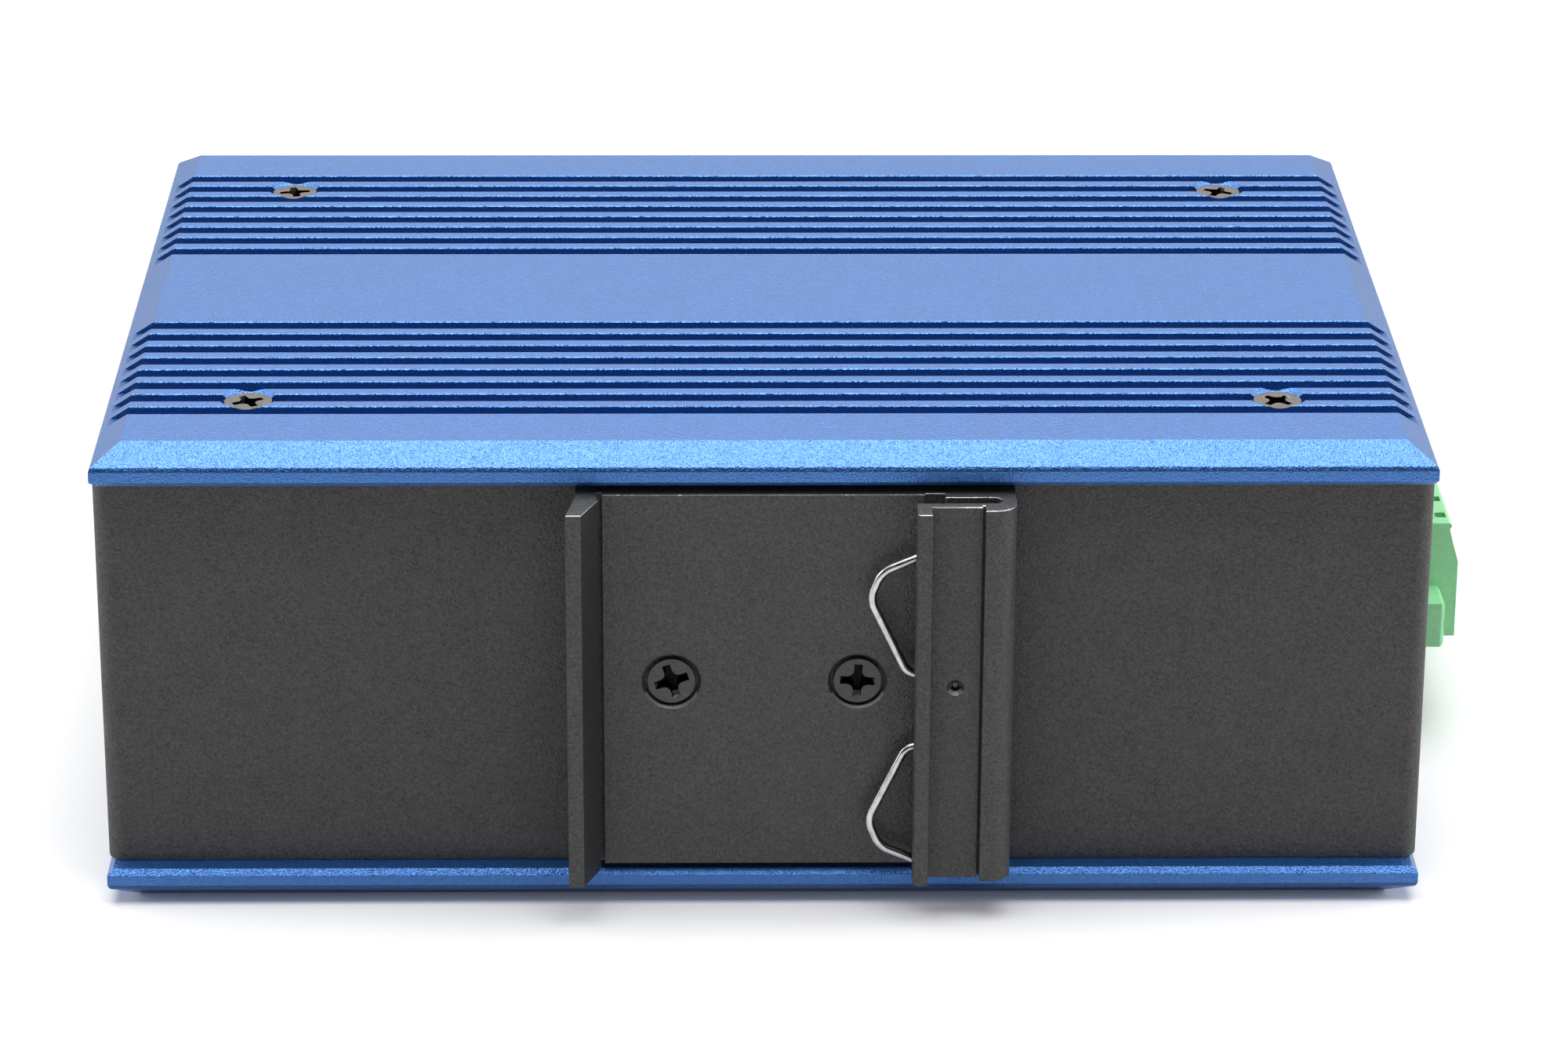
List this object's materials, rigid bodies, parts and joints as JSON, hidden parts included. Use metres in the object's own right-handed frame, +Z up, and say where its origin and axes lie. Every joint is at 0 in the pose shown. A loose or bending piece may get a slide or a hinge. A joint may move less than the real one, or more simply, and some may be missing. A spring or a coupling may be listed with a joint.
{
  "type": "poe switch",
  "caption": "Rail-mounted network switch that feeds power over its ports: finned aluminium side covers, folded steel chassis, rail clip with wire spring and plug-in power terminal.",
  "frame": {"origin": "centre of the lower side cover's flat underside, on the surface that the switch lies on", "axes": "+X along the long side towards the power terminal, +Y out of the port panel, +Z up through the upper side cover"},
  "size_m": [0.1559, 0.11, 0.0531],
  "materials": {
    "blue_anodised": "bead blasted and anodised, satin",
    "black_powder_coat": "fine texture powder coat, matt",
    "black_anodised": "black anodised, satin",
    "spring_wire": "drawn, bright",
    "dark_screw": "dark nickel plate",
    "black_screw": "black zinc plate",
    "zinc_steel": "bright zinc plate",
    "tinned_steel": "tinned sheet",
    "gold_contact": "gold flashed",
    "circuit_board": "green solder mask",
    "black_plastic": "moulded",
    "clear_plastic": "clear moulded",
    "lamp_plastic": "milky moulded",
    "green_plastic": "moulded, satin",
    "chip_epoxy": "moulded epoxy",
    "thermal_rubber": "soft silicone",
    "capacitor_sleeve": "shrunk sleeve",
    "ferrite": "pressed ferrite",
    "relay_case": "moulded"
  },
  "bodies": {
    "root": {"alarm_relay": "relay_case", "board_standoffs": "zinc_steel", "bottom_cover": "blue_anodised", "bulk_capacitors": "capacitor_sleeve", "chassis_wrap": "black_powder_coat", "clamp_cages": "tinned_steel", "clip_screws": "black_screw", "clip_spring": "spring_wire", "din_clip": "black_anodised", "earth_screw": "zinc_steel", "front_panel": "black_powder_coat", "header_pins": "tinned_steel", "heat_sink": "black_anodised", "light_pipe": "clear_plastic", "main_board": "circuit_board", "poe_chips": "chip_epoxy", "port_magnetics": "chip_epoxy", "power_inductors": "ferrite", "rj45_contacts": "gold_contact", "rj45_housing": "black_plastic", "rj45_shield": "tinned_steel", "sfp_cage_1": "tinned_steel", "sfp_cage_2": "tinned_steel", "sfp_socket_1": "black_plastic", "sfp_socket_2": "black_plastic", "spring_pin": "black_anodised", "status_leds": "lamp_plastic", "switch_chip": "chip_epoxy", "terminal_header": "green_plastic", "terminal_plug": "green_plastic", "thermal_pads": "thermal_rubber", "top_cover": "blue_anodised", "top_cover_screws": "dark_screw"}
  },
  "joints": []
}
